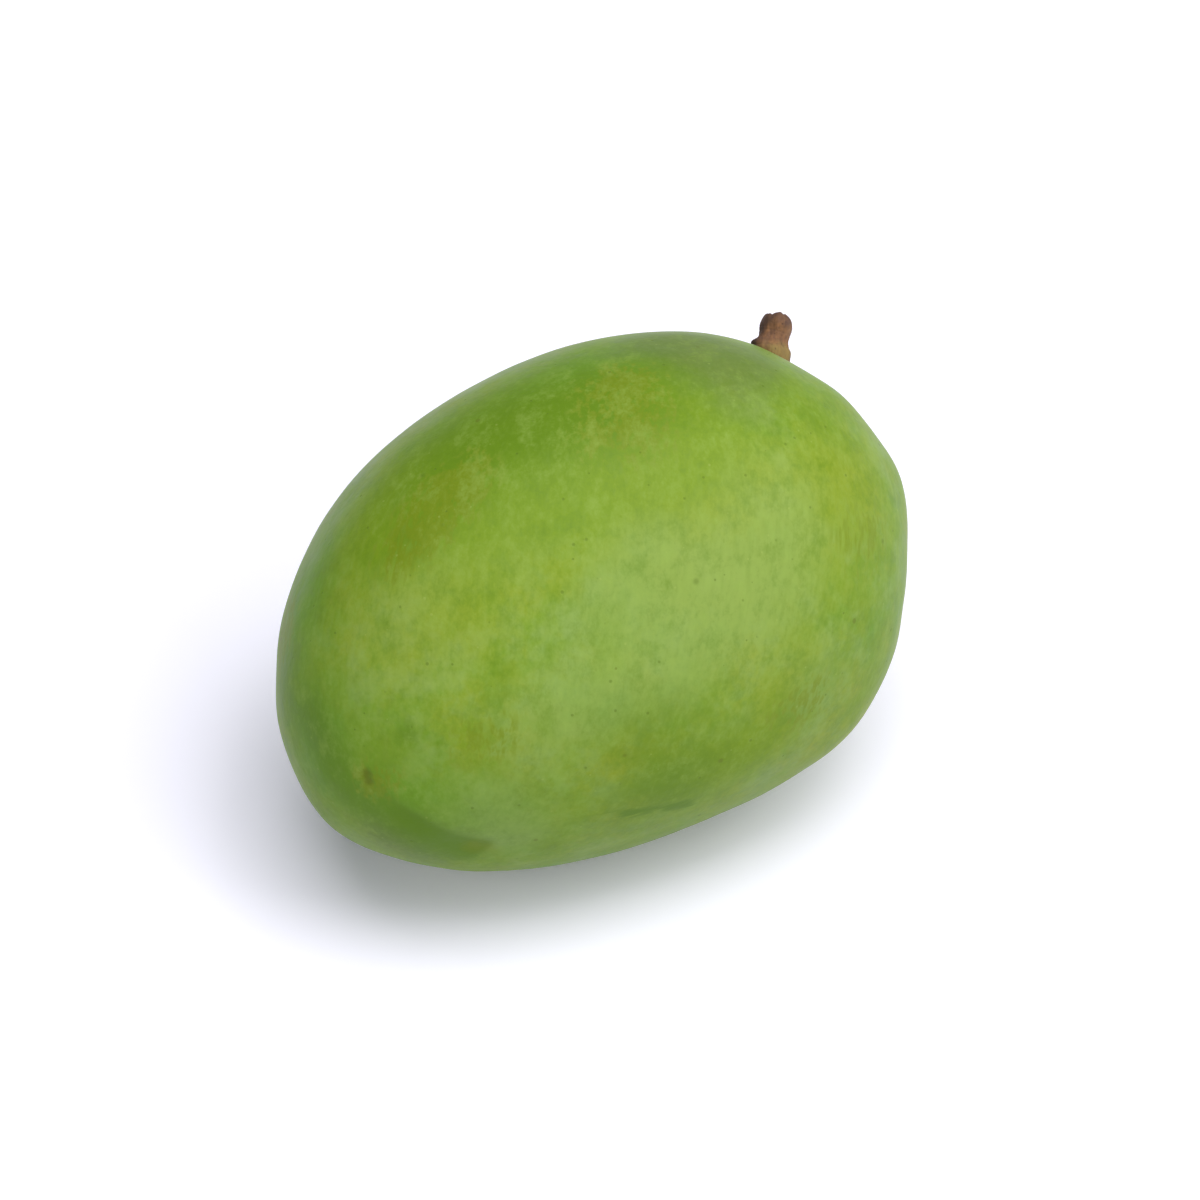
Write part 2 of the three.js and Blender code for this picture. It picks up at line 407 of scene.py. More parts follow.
def direction(turn, aside):
    """Unit direction from the fruit's centre at a turn and an angle aside, in degrees."""
    t, a = np.radians(turn), np.radians(aside)
    return np.stack([np.cos(t) * np.cos(a), np.sin(t) * np.cos(a), np.sin(a)], axis=-1)


def smooth(value, low, high):
    """0 below low, 1 above high, and 3s^2 - 2s^3 between, where s is the share of the way."""
    s = np.clip((value - low) / (high - low), 0, 1)
    return s * s * (3 - 2 * s)


def hump(value, middle, spread):
    """Bell-shaped weight of a value: e to the power -((value - middle) / spread)^2."""
    return np.exp(-((value - middle) / spread) ** 2)


def bell(directions, turn, aside, spread):
    """Bell-shaped bump about one direction: e to the power (cosine of the distance - 1) / spread^2."""
    return np.exp((directions @ direction(turn, aside) - 1) / radians(spread) ** 2)


def off_line(directions, places):
    """Distance in degrees from the nearest point of a line through places, negative on its right side seen from
    outside, and the share of the way along it."""
    corners = direction(*np.array(places, float).T)
    best = np.full(directions.shape[:-1], np.inf)
    along, side = np.zeros_like(best), np.ones_like(best)
    for i, (a, b) in enumerate(zip(corners[:-1], corners[1:])):
        step = b - a
        s = np.clip((directions - a) @ step / (step @ step), 0, 1)
        gap = np.linalg.norm(directions - a - s[..., None] * step, axis=-1)
        nearer = gap < best
        along = np.where(nearer, (i + s) / (len(corners) - 1), along)
        side = np.where(nearer, np.sign(directions @ np.cross(a, b)), side)
        best = np.where(nearer, gap, best)
    return np.degrees(best) * side, along


def beak_line(directions, lower):
    """Strength of the beak's line: a hump across it, sharper on the side of the cheek and lower times as wide
    below, that widens along it, fades in and ends soon after its widest."""
    gap, along = off_line(directions, BEAK_LINE)
    width = BEAK_LINE_WIDTH * np.where(gap > 0, 0.9 + 1.5 * along, lower * (1 + 0.4 * along))
    return hump(gap, 0, width) * smooth(along, -0.1, 0.35) * smooth(along, 1.03, 0.92)


def waves(points, count, pitch, seed):
    """Uneven swell about 0, mostly within -1 to 1: the sum of count plane waves of random direction and phase.

    Each wave is cos(2 pi * distance along its direction / its length + its phase); the lengths lie within pitch.
    """
    random = np.random.default_rng(seed)
    axes = random.normal(size=(count, 3))
    axes /= np.linalg.norm(axes, axis=1, keepdims=True) * random.uniform(*pitch, (count, 1))
    return np.cos(2 * pi * points @ axes.T + random.uniform(0, 2 * pi, count)).sum(-1) / count ** 0.5


def rings_about_stem(form, sides, rings):
    """Unit directions on rings round the stem's direction, rings + 1 by sides, and the angles from and round it.

    Ring i stands pi * (i / rings)^RING_CROWDING from the stem's direction, and runs once round it in equal steps.
    """
    pole = direction(np.degrees(form.stem_turn), 0)
    polar = pi * np.linspace(0, 1, rings + 1) ** RING_CROWDING
    around = np.linspace(0, 2 * pi, sides, endpoint=False)
    side = np.array([0.0, 0.0, 1.0])
    ring = np.cos(around)[:, None] * side + np.sin(around)[:, None] * np.cross(side, pole)
    return np.cos(polar)[:, None, None] * pole + np.sin(polar)[:, None, None] * ring, polar, around


def ring_faces(rings, sides):
    """Point numbers of the quads between neighbouring rings, and of a fan of triangles from point 0 to the first
    ring. Point 1 is the first of the first ring."""
    ring = np.arange(sides)
    after = (ring + 1) % sides
    start = 1 + np.arange(rings)[:, None] * sides
    quads = np.stack([start[:-1] + ring, start[1:] + ring, start[1:] + after, start[:-1] + after], -1)
    return quads.reshape(-1, 4), np.stack([np.zeros_like(ring), 1 + ring, 1 + after], -1)


def new_object(name, data):
    """An object in the scene that shows a mesh, a light or a camera."""
    item = bpy.data.objects.new(name, data)
    bpy.context.scene.collection.objects.link(item)
    return item


def closed_surface(name, points, values):
    """Mesh object of a closed grid whose first and last rows each shrink to one point.

    Quads join neighbouring rows, and a fan of triangles closes each end. Faces are turned to enclose a positive
    volume, so they point outwards. values are arrays on the same grid, kept as attributes of the points.
    """
    rows, sides = points.shape[:2]

    def flat(grid):
        return np.concatenate([grid[0, :1], grid[1:-1].reshape(-1, *grid.shape[2:]), grid[-1, :1]])

    places = flat(points)
    quads, first = ring_faces(rows - 2, sides)
    last = first[:, [0, 2, 1]] + (rows - 3) * sides
    last[:, 0] = len(places) - 1
    fans = np.concatenate([first, last])
    a, b, c = places[fans].transpose(1, 0, 2)
    p, q, r, s = places[quads].transpose(1, 0, 2)
    volume = np.einsum("ij,ij->", a, np.cross(b, c)) + np.einsum("ij,ij->", p, np.cross(q, r) + np.cross(r, s))
    if volume < 0:
        quads, fans = quads[:, ::-1], fans[:, ::-1]

    mesh = bpy.data.meshes.new(name)
    mesh.vertices.add(len(places))
    mesh.vertices.foreach_set("co", places.astype(np.float32).ravel())
    corners = np.concatenate([fans.ravel(), quads.ravel()])
    mesh.loops.add(len(corners))
    mesh.loops.foreach_set("vertex_index", corners.astype(np.int32))
    starts = np.concatenate([np.arange(len(fans)) * 3, fans.size + np.arange(len(quads)) * 4])
    mesh.polygons.add(len(starts))
    mesh.polygons.foreach_set("loop_start", starts.astype(np.int32))
    mesh.update(calc_edges=True)
    for key, grid in values.items():
        mesh.attributes.new(key, "FLOAT", "POINT").data.foreach_set("value", flat(grid).astype(np.float32))
    mesh.shade_smooth()
    if mesh.validate():
        raise RuntimeError(f"{name}: the surface has faces that don't close")
    return new_object(name, mesh)


def fruit_points(form, d):
    """The fruit's main form in its own axes, in the unit directions d.

    A superellipsoid: reach = (|dx|^F + |dy|^F + |dz|^F)^(-1/F) with F the fullness, and along = dx * reach. The
    point is (L * along, D * dy * reach * girth + lift, W * dz * reach * girth), with L, D and W half its length,
    depth and width, girth = 1 + taper * along and lift = L * (bend * along^2 + skew * along^3). Each swelling or
    dent of RELIEF is then added along d as a bell.
    """
    reach = (np.abs(d) ** form.fullness).sum(-1) ** (-1 / form.fullness)
    along = d[..., 0] * reach
    girth = 1 + form.taper * along
    lift = form.half_length * (form.bend * along ** 2 + form.skew * along ** 3)
    points = np.stack([
        form.half_length * along,
        form.half_depth * d[..., 1] * reach * girth + lift,
        form.half_width * d[..., 2] * reach * girth,
    ], axis=-1)
    for _, turn, aside, height, spread in RELIEF:
        points += d * (height * MM * bell(d, turn, aside, spread))[..., None]
    return points


def fine_relief(form, d, polar, around):
    """Height outwards, in metres, of what the solid leaves out.

    The sum of slow swells of plane waves, the bells of the dimples and swellings, puckers that run out from the
    stalk as two cosines round it within a ring, a low wavy collar at the stalk's foot, and the groove of the
    beak's line.
    """
    height = sum(part * form.swell * waves(d, count, lengths, seed) for part, count, lengths, seed in SWELLS)
    for _, turn, aside, rise, spread in SOFT_RELIEF:
        height += rise * MM * bell(d, turn, aside, spread)
    out = np.degrees(polar)[:, None]
    folds = 0.55 * np.cos(7 * around + 0.8) + 0.45 * np.cos(12 * around + 2.1 + 0.12 * out)
    collar = 1.4 + 0.5 * np.cos(5 * around + 1.0)
    height += form.puckers * (folds * hump(out, *PUCKER_RING) + collar * hump(out, *COLLAR_RING))
    return height - BEAK_LINE_DEPTH * MM * beak_line(d, GROOVE_LOWER_SIDE)


def rested(form, d, relief, box):
    """Points of the fruit in the unit directions d, with the relief added along d, turned into its resting pose
    and set into the box of its solid.

    Turned about x by the roll, then about y by minus the pitch. Moved so that the middle in x and y and the top
    of the form without the relief meet the box's. What would sink below the floor is rounded off at z = 0 by the
    soft maximum (z + sqrt(z^2 + s^2)) / 2 with s the settle.
    """
    turn = np.array(Euler((form.roll, -form.pitch, 0)).to_matrix())
    turned = fruit_points(form, d) @ turn.T
    low, high = turned.reshape(-1, 3).min(0), turned.reshape(-1, 3).max(0)
    start, end = np.array(box)
    move = (start + end - low - high) / 2
    move[2] = end[2] - high[2]
    placed = turned + (d * relief[..., None]) @ turn.T + move
    z = placed[..., 2]
    placed[..., 2] = (z + np.sqrt(z ** 2 + form.settle ** 2)) / 2
    return placed, move


def spline(knots, count):
    """Points at even steps along a smooth curve through knots: cubic pieces whose slopes are those of the chords
    from each knot's neighbour to the next."""
    knots = np.array(knots, float)
    slopes = np.gradient(knots, axis=0)
    position = np.linspace(0, len(knots) - 1, count)
    i = np.minimum(position.astype(int), len(knots) - 2)
    s = (position - i)[:, None]
    a, b, m, n = knots[i], knots[i + 1], slopes[i], slopes[i + 1]
    eased, bend = 3 * s ** 2 - 2 * s ** 3, s ** 3 - s ** 2
    return (1 - eased) * a + (bend - s ** 2 + s) * m + eased * b + bend * n


# ---- materials


class Wiring:
    """Adds nodes to a node tree and links them, each to the right of what feeds it."""

    def __init__(self, tree):
        self.tree = tree
        self.rows = {}

    def add(self, kind, inputs=(), **settings):
        """A node of a kind, with its settings, and its inputs by name or number as values or sockets."""
        node = self.tree.nodes.new(kind)
        for key, value in settings.items():
            setattr(node, key, value)
        column = 0
        for key, value in dict(inputs).items():
            if isinstance(value, bpy.types.NodeSocket):
                self.tree.links.new(value, node.inputs[key])
                column = max(column, round(value.node.location.x / 220) + 1)
            else:
                node.inputs[key].default_value = value
        row = self.rows[column] = self.rows.get(column, 0) + 1
        node.location = (220 * column, -200 * row)
        return node

    def math(self, operation, *values):
        """Result of one Math node."""
        return self.add("ShaderNodeMath", enumerate(values), operation=operation).outputs[0]

    def blend(self, factor, first, second):
        """Colour between two, by a factor."""
        return self.add("ShaderNodeMix", {0: factor, 6: first, 7: second}, data_type="RGBA").outputs[2]

    def ramp(self, value, low, high, start=0.0, end=1.0):
        """Value taken smoothly from start, where it is below low, to end, where it is above high."""
        return self.add("ShaderNodeMapRange", {"Value": value, "From Min": low, "From Max": high, "To Min": start,
                                               "To Max": end}, interpolation_type="SMOOTHSTEP").outputs[0]

    def scale(self, value, factor, offset=0.0):
        """Value times factor plus offset."""
        return self.math("MULTIPLY_ADD", value, factor, offset)

    def sway(self, base, noise, reach, low, high):
        """Base drawn evenly towards one colour where a noise is under a half and towards another where it is
        over, fully at reach from a half."""
        for shade, end in ((low, 0.5 - reach), (high, 0.5 + reach)):
            part = self.add("ShaderNodeMapRange", {"Value": noise, "From Min": 0.5, "From Max": end}).outputs[0]
            base = self.blend(part, base, opaque(shade))
        return base

    def over(self, base, *layers):
        """Base with layers laid over it in turn. A layer is a mask, a strength that scales it, and a colour."""
        for where, strength, shade in layers:
            base = self.blend(self.scale(where, strength), base, opaque(shade))
        return base

    def attribute(self, name):
        """A number kept on the piece's points."""
        return self.add("ShaderNodeAttribute", attribute_name=name).outputs["Fac"]

    def shared(self, name, **inputs):
        """Output of a shared node group, which is made the first time it is asked for."""
        tree = bpy.data.node_groups.get(name) or SHARED_GROUPS[name](name)
        return self.add("ShaderNodeGroup", inputs, node_tree=tree).outputs[0]

    def mask(self, name, noise, raggedness=1.0, edge=1.0):
        """Where a tint or mark that is kept on the piece's points lies, its edge broken by a noise."""
        return self.shared("Ragged edge", Mask=self.attribute(name), Noise=noise, Raggedness=raggedness, Edge=edge)


def new_group(name, inputs, output):
    """A node group with its sockets and no nodes yet: its tree, its wiring and its inputs."""
    tree = bpy.data.node_groups.new(name, "ShaderNodeTree")
    for title, kind, value in inputs:
        socket = tree.interface.new_socket(title, in_out="INPUT", socket_type=kind)
        if value is not None:
            socket.default_value = value
    tree.interface.new_socket(output, in_out="OUTPUT", socket_type="NodeSocketFloat")
    wiring = Wiring(tree)
    return tree, wiring, wiring.add("NodeGroupInput").outputs


NUMBER = "NodeSocketFloat"
VECTOR = "NodeSocketVector"


def cloudy_group(name):
    """Clouds of a given size, about 0.5. Stretch draws them out along the piece's x."""
    tree, w, given = new_group(name, [
        ("Vector", VECTOR, None), ("Size", NUMBER, 0.01), ("Stretch", NUMBER, 1.0), ("Detail", NUMBER, 2.0),
        ("Roughness", NUMBER, 0.5), ("Seed", NUMBER, 0.0)], "Value")
    long = w.math("MULTIPLY", given["Size"], given["Stretch"])
    box = w.add("ShaderNodeCombineXYZ", {0: long, 1: given["Size"], 2: given["Size"]}).outputs[0]
    scaled = w.add("ShaderNodeVectorMath", {0: given["Vector"], 1: box}, operation="DIVIDE").outputs[0]
    noise = w.add("ShaderNodeTexNoise", {"Vector": scaled, "W": given["Seed"], "Scale": 1.0,
                                         "Detail": given["Detail"], "Roughness": given["Roughness"]},
                  noise_dimensions="4D").outputs[0]
    w.add("NodeGroupOutput", {0: noise})
    return tree


def dots_group(name):
    """Round dots scattered through the piece, cut by its surface, so that they come in all sizes up to Size.
    Share is how many of them there are."""
    tree, w, given = new_group(name, [
        ("Vector", VECTOR, None), ("Gap", NUMBER, 0.003), ("Size", NUMBER, 0.0004), ("Softness", NUMBER, 0.5),
        ("Share", NUMBER, 1.0), ("Seed", NUMBER, 0.0)], "Mask")
    scaled = w.add("ShaderNodeVectorMath", {0: given["Vector"], 1: given["Gap"]}, operation="DIVIDE").outputs[0]
    moved = w.add("ShaderNodeVectorMath", {0: scaled, 1: given["Seed"]}, operation="ADD").outputs[0]
    cells = w.add("ShaderNodeTexVoronoi", {"Vector": moved, "Scale": 1.0}, feature="F1")
    distance = w.math("MULTIPLY", cells.outputs["Distance"], given["Gap"])
    chance = w.add("ShaderNodeSeparateColor", {0: cells.outputs["Color"]})
    size = w.math("MULTIPLY", given["Size"], w.scale(chance.outputs[0], 0.6, 0.4))
    core = w.math("MULTIPLY", size, w.math("SUBTRACT", 1.0, given["Softness"]))
    dot = w.ramp(distance, core, size, 1.0, 0.0)
    kept = w.math("LESS_THAN", chance.outputs[1], given["Share"])
    w.add("NodeGroupOutput", {0: w.math("MULTIPLY", dot, kept)})
    return tree


def ragged_group(name):
    """A soft mask given ragged edges: the mask plus Raggedness times the noise about 0.5, taken from 0 to 1
    across Edge about a half, and faded out where the mask is nearly nothing."""
    tree, w, given = new_group(name, [
        ("Mask", NUMBER, 0.0), ("Noise", NUMBER, 0.5), ("Raggedness", NUMBER, 1.0), ("Edge", NUMBER, 0.5)], "Mask")
    uneven = w.math("MULTIPLY_ADD", w.math("SUBTRACT", given["Noise"], 0.5), given["Raggedness"], given["Mask"])
    half = w.math("MULTIPLY", given["Edge"], 0.5)
    low, high = w.math("SUBTRACT", 0.5, half), w.math("ADD", 0.5, half)
    w.add("NodeGroupOutput", {0: w.math("MULTIPLY", w.ramp(uneven, low, high), w.ramp(given["Mask"], 0.02, 0.3))})
    return tree


SHARED_GROUPS = {"Clouds": cloudy_group, "Scattered dots": dots_group, "Ragged edge": ragged_group}


def new_material(name):
    """Empty material and its wiring."""
    material = bpy.data.materials.new(name)
    material.use_nodes = True
    material.node_tree.nodes.clear()
    return material, Wiring(material.node_tree)


def finish_shader(wiring, base, roughness, height, depth, **constants):
    """Adds the Principled shader, with its colour, roughness, bump of the given depth in metres and fixed numbers,
    and the material's output."""
    bump = wiring.add("ShaderNodeBump", {"Height": height, "Strength": 1.0, "Distance": depth}).outputs[0]
    inputs = {"Base Color": base, "Roughness": roughness, "Normal": bump}
    inputs |= {key.replace("_", " "): value for key, value in constants.items()}
    shader = wiring.add("ShaderNodeBsdfPrincipled", inputs)
    wiring.add("ShaderNodeOutputMaterial", {"Surface": shader.outputs[0]})


def own_axes(wiring, origin=(0, 0, 0), turn=(0, 0, 0)):
    """Object coordinates taken into a piece's own axes, from where it lies."""
    place = wiring.add("ShaderNodeTexCoord").outputs["Object"]
    return wiring.add("ShaderNodeMapping", {"Vector": place, "Location": origin, "Rotation": turn},
                      vector_type="TEXTURE").outputs[0]


def opaque(shade):
    """A colour property as a shader's four numbers."""
    return (*shade, 1.0)


def skin_material(finish, origin, turn, fibre_turn):
    """Skin of a green mango: patches of yellow, leaf, dull, deep and olive green under an uneven film of wax,
    fine streaks, pores, flecks, the beak's line and the mark at its end, the rubbed line, the old scar and the
    corky ring round the stalk. Some patches are painted shade: deep, leaf and bare green on the upper cheek, and
    deep green at the left edge, low on the belly and along and under the beak's line, whose own colour is partly
    a dark green mark and partly painted shade of the fold below it."""
    material, w = new_material("Mango skin")
    at = own_axes(w, origin, turn)
    along = own_axes(w, origin, fibre_turn)

    hue = w.shared("Clouds", Vector=at, Size=finish.patch, Detail=6.0, Roughness=0.85, Seed=1.3)
    film = w.shared("Clouds", Vector=at, Size=finish.film, Detail=4.0, Roughness=0.75, Seed=7.9)
    tone = w.shared("Clouds", Vector=along, Size=finish.mottle, Stretch=1.3, Detail=4.0, Roughness=0.85, Seed=3.7)
    fleck = w.shared("Clouds", Vector=at, Size=finish.fleck, Detail=2.0, Roughness=0.6, Seed=5.2)
    grain = w.shared("Clouds", Vector=at, Size=finish.grain, Detail=1.0, Seed=9.9)
    fibre = w.shared("Clouds", Vector=along, Size=finish.grain, Stretch=5.0, Detail=1.0, Seed=2.4)
    scuff = w.shared("Clouds", Vector=at, Size=finish.grain, Stretch=6.0, Detail=2.0, Seed=6.1)

    def speckle(gap, size, softness, kept, seed):
        """Dots whose spacing and size are given as shares of those of the pores."""
        return w.shared("Scattered dots", Vector=at, Gap=gap * finish.pore_gap, Size=size * finish.pore_size,
                        Softness=softness, Share=kept, Seed=seed)

    base = w.sway(opaque(finish.green), hue, 0.2, finish.leaf, finish.yellow)
    base = w.sway(base, film, 0.2, finish.bare, finish.bloom)
    # Tints kept on the points; some of the leaf, bare green and deep ones are painted shade, as TINTS says.
    for name, noise, strength in (("yellow", tone, 0.6), ("leaf", tone, 0.75), ("bare", film, 0.85),
                                  ("bloom", film, 0.6), ("dull", film, 0.75), ("deep", film, 0.7)):
        base = w.over(base, (w.mask(name, noise), strength, getattr(finish, name)))
    freckles = w.math("ADD", w.scale(fibre, 2.5, -1.25), w.scale(tone, 2.5, -0.75))
    base = w.over(base, (w.mask("olive", freckles, edge=0.7), 0.85, finish.olive))
    base = w.sway(base, tone, 0.4, finish.deep, finish.pale)
    base = w.sway(base, fibre, 1.7, finish.deep, finish.pale)

    pores = speckle(1.0, 1.0, 0.65, 0.4, 0.0)
    pale = speckle(1.15, 0.8, 0.6, 0.5, 5.5)
    brown = speckle(3.2, 1.5, 0.5, 0.5, 11.5)
    nicks = speckle(4.3, 2.2, 0.85, 0.6, 3.1)
    scar = w.mask("scar", fleck, 0.9, 0.9)
    cork = w.mask("cork", fleck, 0.8)
    base = w.over(
        base,
        (pores, 0.5, finish.pore),
        (nicks, 0.5, finish.pore),
        (pale, 0.35, finish.pale_pore),
        (brown, 0.5, finish.scar),
        # the beak's line: a dark green mark, and painted shade of the fold below it
        (w.mask("beak_line", tone, 0.7), 1.0, finish.deep),
        (w.mask("beak_end", fleck), 0.65, finish.olive),
        (w.mask("rubbed", scuff, 2.6, 0.9), 0.95, finish.deep),
        (scar, 0.7, finish.scar),
        (cork, 0.8, finish.cork),
    )

    rough = w.math("ADD", w.ramp(tone, 0.3, 0.7, finish.roughness - 0.05, finish.roughness + 0.07),
                   w.math("ADD", w.scale(pores, 0.12), w.scale(cork, 0.3)))
    height = w.scale(grain, 0.5)
    for relief, strength in ((fleck, 1.2), (pores, -0.6), (pale, 0.15), (scar, -1.5), (cork, w.scale(grain, 3.0))):
        height = w.math("ADD", height, w.scale(relief, strength))
    finish_shader(w, base, rough, height, 0.05 * MM, IOR=1.45, Specular_IOR_Level=0.18, Sheen_Weight=0.04,
                  Sheen_Roughness=0.45, Sheen_Tint=(0.92, 0.94, 1.0, 1.0))
    return material


def bark_material(finish, origin, turn):
    """Dry bark of the stub: reddish brown, with a dark head and bract, a pale, dry foot and a greyish broken end.
    Painted on it as light and shade: darker creases and ring scars, the head darker down its side away from the
    lamps, and the foot paler and the head greyish on the side towards them."""
    material, w = new_material("Stalk bark")
    at = own_axes(w, origin, turn)
    upright = w.add("ShaderNodeVectorRotate", {"Vector": at, "Angle": pi / 2}, rotation_type="Z_AXIS").outputs[0]
    fibre = w.shared("Clouds", Vector=upright, Size=0.35 * MM, Stretch=6.0, Detail=3.0, Roughness=0.6, Seed=1.0)
    blotch = w.shared("Clouds", Vector=at, Size=1.6 * MM, Detail=3.0, Roughness=0.6, Seed=2.0)
    pores = w.shared("Scattered dots", Vector=at, Gap=0.7 * MM, Size=0.16 * MM, Softness=0.5, Share=0.6, Seed=1.0)

    base = w.blend(w.ramp(blotch, 0.35, 0.65), opaque(finish.brown), opaque(finish.dark))
    base = w.blend(0.55, opaque(finish.brown), base)
    base = w.over(
        base,
        # the dry foot's tan, laid paler on the side towards the lamps as painted light
        (w.mask("pale", blotch, 0.9, 0.8), 0.9, finish.tan),
        # the dark head, with painted shade down its side away from the lamps
        (w.mask("head", blotch, 1.0, 0.8), 0.7, finish.dark),
        # painted shade in the grooves between the ridges and in the ring scars
        (w.attribute("crease"), 0.35, finish.dark),
        (w.ramp(fibre, 0.45, 0.75), 0.3, finish.dark),
        (w.ramp(fibre, 0.45, 0.2), 0.25, finish.tan),
        (w.attribute("bract"), 0.8, finish.dark),
        # the broken end's grey, and a painted sheen on the head's side towards the lamps
        (w.attribute("pith"), 0.7, finish.pith),
        (pores, 0.5, finish.dark),
    )

    rough = w.ramp(fibre, 0.2, 0.8, finish.roughness - 0.1, finish.roughness + 0.1)
    height = w.math("ADD", w.scale(fibre, 1.0), w.scale(pores, -0.4))
    finish_shader(w, base, rough, height, 0.12 * MM, IOR=1.45, Specular_IOR_Level=0.35)
    return material


def floor_material(studio):
    """Matt white table top with the faintest unevenness of tone."""
    material, w = new_material("Pale floor")
    at = own_axes(w)
    tone = w.shared("Clouds", Vector=at, Size=0.25, Detail=2.0, Seed=6.0)
    seen, lighting = (opaque(gain * part for part in studio.floor) for gain in (studio.whiteness, studio.bounce))
    lit = w.add("ShaderNodeLightPath").outputs["Is Diffuse Ray"]
    base = w.blend(lit, seen, lighting)
    base = w.blend(w.ramp(tone, 0.3, 0.7, 0.0, 0.015), base, (0.0, 0.0, 0.0, 1.0))
    rough = w.ramp(tone, 0.3, 0.7, 0.7, 0.8)
    finish_shader(w, base, rough, tone, 0.01 * MM, Specular_IOR_Level=0.2)
    return material


# ---- operators


class MANGO_OT_skin(Operator):
    """Build the fruit with its skin"""

    bl_idname = "mango.skin"
    bl_label = "Mango skin"

    def execute(self, context):
        form = context.scene.fruit_form
        d, polar, around = rings_about_stem(form, form.sides, form.rings)
        placed, move = rested(form, d, fine_relief(form, d, polar, around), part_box(FRUIT_NODE))

        values = {name: np.clip(sum(strength * bell(d, *place) for _, *place, strength in places), 0, 1)
                  for name, places in TINTS.items()}
        # the beak's line, wider below: partly a dark green mark, partly painted shade of the fold
        values["beak_line"] = beak_line(d, COLOUR_LOWER_SIDE)
        values["beak_end"] = bell(d, *BEAK_END)
        gap, along = off_line(d, RUBBED_LINE)
        values["rubbed"] = hump(gap, 0, RUBBED_WIDTH) * smooth(along, 0, 0.4) * smooth(along, 1, 0.85)
        values["scar"] = np.maximum(*(bell(d, *half) for half in OLD_SCAR))
        out = np.broadcast_to(np.degrees(polar)[:, None], d.shape[:-1])
        values["cork"] = sum(strength * smooth(out, gone, full) for strength, full, gone in CORK)
        skin = closed_surface("mango_skin", placed, values)
        euler = Euler((form.roll, -form.pitch, 0))
        finish = context.scene.skin_finish
        fibres = (euler.to_matrix() @ Euler((0, 0, finish.fibre_turn)).to_matrix()).to_euler()
        skin.data.materials.append(skin_material(finish, tuple(move), euler, fibres))
        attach(skin, "root")
        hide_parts(FRUIT_NODE)
        return {"FINISHED"}


